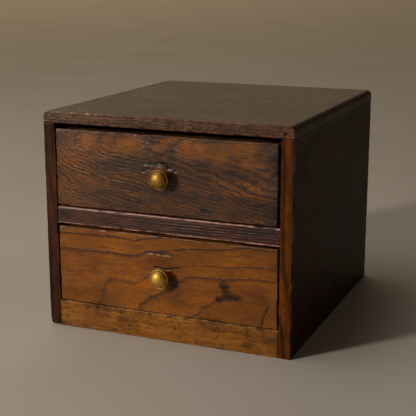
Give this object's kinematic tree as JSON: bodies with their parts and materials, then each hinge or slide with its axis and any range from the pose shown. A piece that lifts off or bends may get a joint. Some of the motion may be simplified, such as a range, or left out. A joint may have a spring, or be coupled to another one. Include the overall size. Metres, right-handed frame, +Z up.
{
  "type": "apothecary cabinet",
  "caption": "Table-top wooden cabinet: a low case of solid boards with drawers one above the other, each pulled out by a round knob.",
  "frame": {"origin": "on the surface the case stands on, at the middle of its width and midway between the knobs' tips and the back", "axes": "+Z up, drawers open towards -Y, +X to the right when facing the drawers"},
  "size_m": [0.24, 0.2768, 0.205],
  "materials": {
    "oiled_oak_dark": "open-grained, dark stained and oiled, worn",
    "oiled_oak_amber": "smooth, oiled, red-brown",
    "oiled_oak_case": "oiled, satin",
    "oiled_oak_top": "oiled, satin, rubbed smooth",
    "bare_cedar": "planed, unfinished, aged",
    "peg_wood": "cut flush and oiled",
    "aged_brass": "turned, hand-polished, aged",
    "old_iron": "forged, dull, lightly rusted"
  },
  "bodies": {
    "carcass": {"top_board": "oiled_oak_top", "left_side": "oiled_oak_case", "right_side": "oiled_oak_case", "bottom_board": "bare_cedar", "bottom_rail": "oiled_oak_amber", "divider_rail": "oiled_oak_dark", "left_runner": "bare_cedar", "right_runner": "bare_cedar", "rear_rail": "bare_cedar", "back_plank_low": "bare_cedar", "back_plank_mid": "bare_cedar", "back_plank_high": "bare_cedar", "top_pegs": "peg_wood", "runner_nails": "old_iron", "back_nails": "old_iron"},
    "upper_drawer": {"upper_front": "oiled_oak_dark", "upper_left_side": "bare_cedar", "upper_right_side": "bare_cedar", "upper_back": "bare_cedar", "upper_bottom": "bare_cedar", "upper_pegs": "peg_wood", "upper_nails": "old_iron", "upper_knob": "aged_brass", "upper_washer": "old_iron", "upper_nut": "old_iron"},
    "lower_drawer": {"lower_front": "oiled_oak_amber", "lower_left_side": "bare_cedar", "lower_right_side": "bare_cedar", "lower_back": "bare_cedar", "lower_bottom": "bare_cedar", "lower_pegs": "peg_wood", "lower_nails": "old_iron", "lower_knob": "aged_brass", "lower_washer": "old_iron", "lower_nut": "old_iron"}
  },
  "joints": [
    {"name": "upper_drawer_slide", "type": "slide", "parent": "carcass", "child": "upper_drawer", "axis": [0, -1, 0], "range_m": [0, 0.2]},
    {"name": "lower_drawer_slide", "type": "slide", "parent": "carcass", "child": "lower_drawer", "axis": [0, -1, 0], "range_m": [0, 0.2]}
  ]
}
